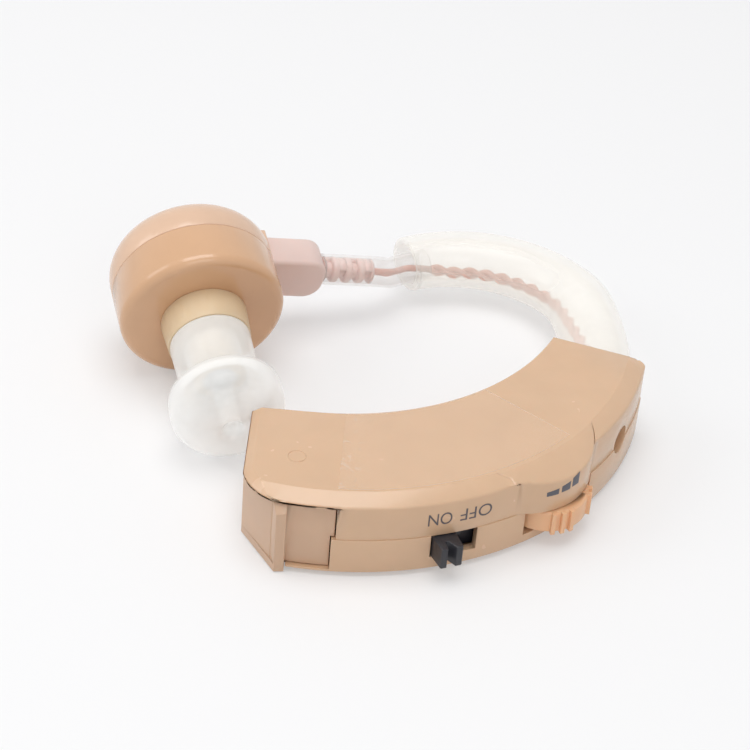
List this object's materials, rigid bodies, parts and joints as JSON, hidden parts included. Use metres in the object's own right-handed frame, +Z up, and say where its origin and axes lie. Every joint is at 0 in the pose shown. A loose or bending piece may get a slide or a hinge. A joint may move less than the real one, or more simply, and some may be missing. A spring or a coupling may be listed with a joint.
{
  "type": "behind the ear hearing aid",
  "caption": "Behind the ear hearing aid: beige crescent body with a swinging cell door, switch and volume wheel, clear ear hook, and a plugged button receiver with a clear ear tip.",
  "frame": {"origin": "a point of the body's flat underside, which lies on the table, between the cell and the volume wheel", "axes": "X along the body towards the ear hook, Y towards the hollow side that faces the ear, Z up"},
  "size_m": [0.0553, 0.0517, 0.0179],
  "materials": {
    "beige_shell": "glossy beige moulded plastic",
    "beige_door": "glossy beige moulded plastic, a little darker",
    "steel": "plain steel",
    "nickel_can": "nickel plated steel can",
    "gold_plate": "gold plated spring metal",
    "solder_resist": "green board lacquer",
    "black_plastic": "black moulded plastic",
    "ceramic_block": "tan ceramic blocks and a sleeved can",
    "peach_wheel": "ribbed peach plastic",
    "brown_phenolic": "brown phenolic disc",
    "tan_rubber": "soft tan rubber",
    "red_wire": "red insulated wire",
    "clear_film": "clear film on the beige shell",
    "milky_vinyl": "clear soft vinyl, milky where thick",
    "white_plastic": "off-white moulded plastic",
    "pink_lead": "two twisted pink insulated strands",
    "clear_tube": "clear soft tubing",
    "pink_plug": "pink moulded plastic",
    "tan_cap": "tan moulded plastic",
    "pinkish_cap": "pinkish moulded plastic",
    "magnet": "dark sintered magnet",
    "iron": "soft iron",
    "copper_winding": "wound enamelled copper wire",
    "card_ring": "pressed card ring",
    "foil": "thin stiff metal disc",
    "cream_plastic": "cream moulded plastic",
    "clear_silicone": "clear soft silicone"
  },
  "bodies": {
    "case": {"upper_shell": "beige_shell", "lower_shell": "beige_shell", "shell_screws": "steel", "door_hinge_pin": "steel", "contact_negative": "gold_plate", "contact_positive": "gold_plate", "circuit_board": "solder_resist", "amplifier_chip": "black_plastic", "board_capacitors": "ceramic_block", "board_resistors": "black_plastic", "switch_housing": "black_plastic", "switch_terminals": "gold_plate", "potentiometer_base": "brown_phenolic", "volume_wheel_axle": "steel", "microphone": "nickel_can", "microphone_boot": "tan_rubber", "microphone_wires": "red_wire", "clear_film": "clear_film", "hook_nozzle": "white_plastic", "ear_hook": "milky_vinyl", "receiver_lead": "pink_lead", "lead_sleeve": "clear_tube", "strain_relief": "pink_plug", "plug_body": "pink_plug", "plug_pins": "gold_plate"},
    "door": {"battery_door": "beige_door", "button_cell": "nickel_can"},
    "switch": {"switch_slider": "black_plastic"},
    "wheel": {"volume_wheel": "peach_wheel", "volume_wiper": "gold_plate"},
    "receiver": {"receiver_back_cap": "pinkish_cap", "receiver_front_cap": "tan_cap", "receiver_sockets": "gold_plate", "receiver_magnet": "magnet", "receiver_pole": "iron", "receiver_coil": "copper_winding", "diaphragm_ring": "card_ring", "diaphragm": "foil", "receiver_nozzle": "cream_plastic", "wax_mesh": "steel", "ear_tip": "clear_silicone"}
  },
  "joints": [
    {"name": "door_swing", "type": "hinge", "parent": "case", "child": "door", "pos_m": [-0.01705, 0.0027, 0.00445], "axis": [0, 0, -1], "range_deg": [0, 75]},
    {"name": "switch_slide", "type": "slide", "parent": "case", "child": "switch", "axis": [0.9178, 0.3971, 0], "range_m": [0, 0.002]},
    {"name": "wheel_turn", "type": "hinge", "parent": "case", "child": "wheel", "pos_m": [0.01038, 0.00163, 0.0031], "axis": [0, 0, 1], "range_deg": [-135, 135]},
    {"name": "receiver_pull", "type": "slide", "parent": "case", "child": "receiver", "axis": [-0.9195, -0.3412, 0.1952], "range_m": [0, 0.0045]}
  ]
}
